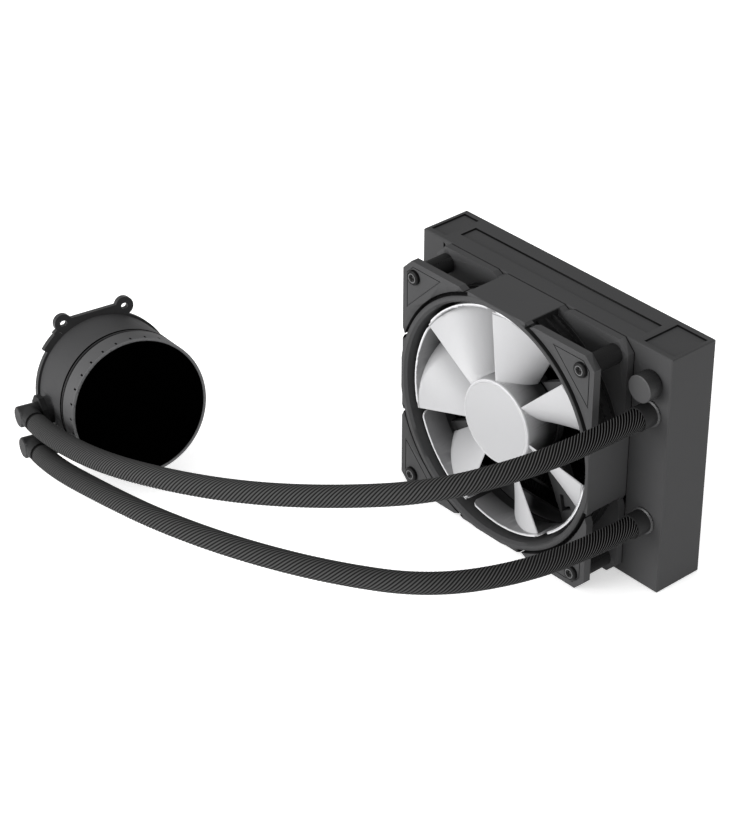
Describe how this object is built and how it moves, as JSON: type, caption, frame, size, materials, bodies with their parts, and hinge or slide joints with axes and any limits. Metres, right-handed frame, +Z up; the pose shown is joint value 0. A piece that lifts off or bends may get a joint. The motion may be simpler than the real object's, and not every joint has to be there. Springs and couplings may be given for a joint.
{
  "type": "all in one cpu liquid cooler",
  "caption": "Closed-loop processor cooler: a radiator with a framed axial fan, a round pump block with a copper cold plate, and braided hoses between them.",
  "frame": {"origin": "centre of the radiator's bottom face, on the surface that it stands on", "axes": "+X along the radiator towards the tank with the hose ports, +Y out of the radiator's back (the fan is on -Y), +Z up"},
  "size_m": [0.2661, 0.1958, 0.12],
  "materials": {
    "radiator_paint": "satin dark grey powder coat",
    "core_paint": "black coated aluminium",
    "black_metal": "satin black",
    "fitting_black": "satin black",
    "elbow_black": "satin black",
    "plug_black": "matte dark grey",
    "seal_rubber": "matte",
    "fan_plastic": "matte dark grey",
    "blade_plastic": "satin pale grey",
    "disc_grey": "satin light grey",
    "steel": "turned",
    "bronze": "sintered bronze",
    "clip_plastic": "natural",
    "magnet": "matte grey",
    "lamination": "stacked sheet edges",
    "winding_copper": "enamelled copper",
    "board_green": "satin",
    "screw_black": "black oxide",
    "ring_paint": "satin black",
    "pump_plastic": "matte dark grey",
    "bezel_plastic": "satin grey",
    "lens_black": "deep black",
    "copper": "ground copper",
    "inner_plastic": "moulded black",
    "ceramic": "polished white",
    "hose_braid": "black braided sleeve over rubber"
  },
  "bodies": {
    "cooler": {"left_tank": "radiator_paint", "right_tank": "radiator_paint", "left_header_plate": "core_paint", "right_header_plate": "core_paint", "top_channel": "radiator_paint", "bottom_channel": "radiator_paint", "flat_tubes": "core_paint", "core_fins": "core_paint", "hose_barbs": "black_metal", "hose_ferrules": "fitting_black", "fill_plug": "plug_black", "fill_seal": "seal_rubber", "fan_frame": "fan_plastic", "bearing_sleeve": "bronze", "fan_stator_core": "lamination", "fan_coils": "winding_copper", "fan_circuit_board": "board_green", "fan_screws": "screw_black", "mounting_ring": "ring_paint", "pump_shell": "pump_plastic", "pump_bezel": "bezel_plastic", "pump_lens": "lens_black", "cold_plate": "copper", "plate_screws": "steel", "plate_gasket": "seal_rubber", "pump_base": "inner_plastic", "impeller_shaft": "ceramic", "rotor_can": "inner_plastic", "pump_stator": "lamination", "pump_coils": "winding_copper", "pump_circuit_board": "board_green", "port_collars": "fitting_black", "hose_upper": "hose_braid", "hose_lower": "hose_braid"},
    "fan_wheel": {"fan_rotor": "blade_plastic", "hub_disc": "disc_grey", "fan_shaft": "steel", "rotor_magnet": "magnet", "retaining_clip": "clip_plastic"},
    "impeller_wheel": {"impeller": "inner_plastic", "impeller_magnet": "magnet"},
    "elbow_top": {"elbow_upper": "elbow_black", "elbow_seal_upper": "seal_rubber"},
    "elbow_bottom": {"elbow_lower": "elbow_black", "elbow_seal_lower": "seal_rubber"}
  },
  "joints": [
    {"name": "fan_spin", "type": "hinge", "parent": "cooler", "child": "fan_wheel", "pos_m": [-0.004, -0.03, 0.06], "axis": [0, 1, 0], "continuous": true},
    {"name": "impeller_spin", "type": "hinge", "parent": "cooler", "child": "impeller_wheel", "pos_m": [-0.15781, -0.12964, 0.04229], "axis": [0.952, -0.2321, 0.1994], "continuous": true},
    {"name": "elbow_top_swivel", "type": "hinge", "parent": "cooler", "child": "elbow_top", "pos_m": [-0.17358, -0.17078, 0.03963], "axis": [-0.2368, -0.9715, 0], "range_deg": [-15, 15], "deforming": ["hose_upper"]},
    {"name": "elbow_bottom_swivel", "type": "hinge", "parent": "cooler", "child": "elbow_bottom", "pos_m": [-0.1706, -0.1715, 0.02454], "axis": [-0.2368, -0.9715, 0], "range_deg": [-15, 15], "deforming": ["hose_lower"]}
  ]
}
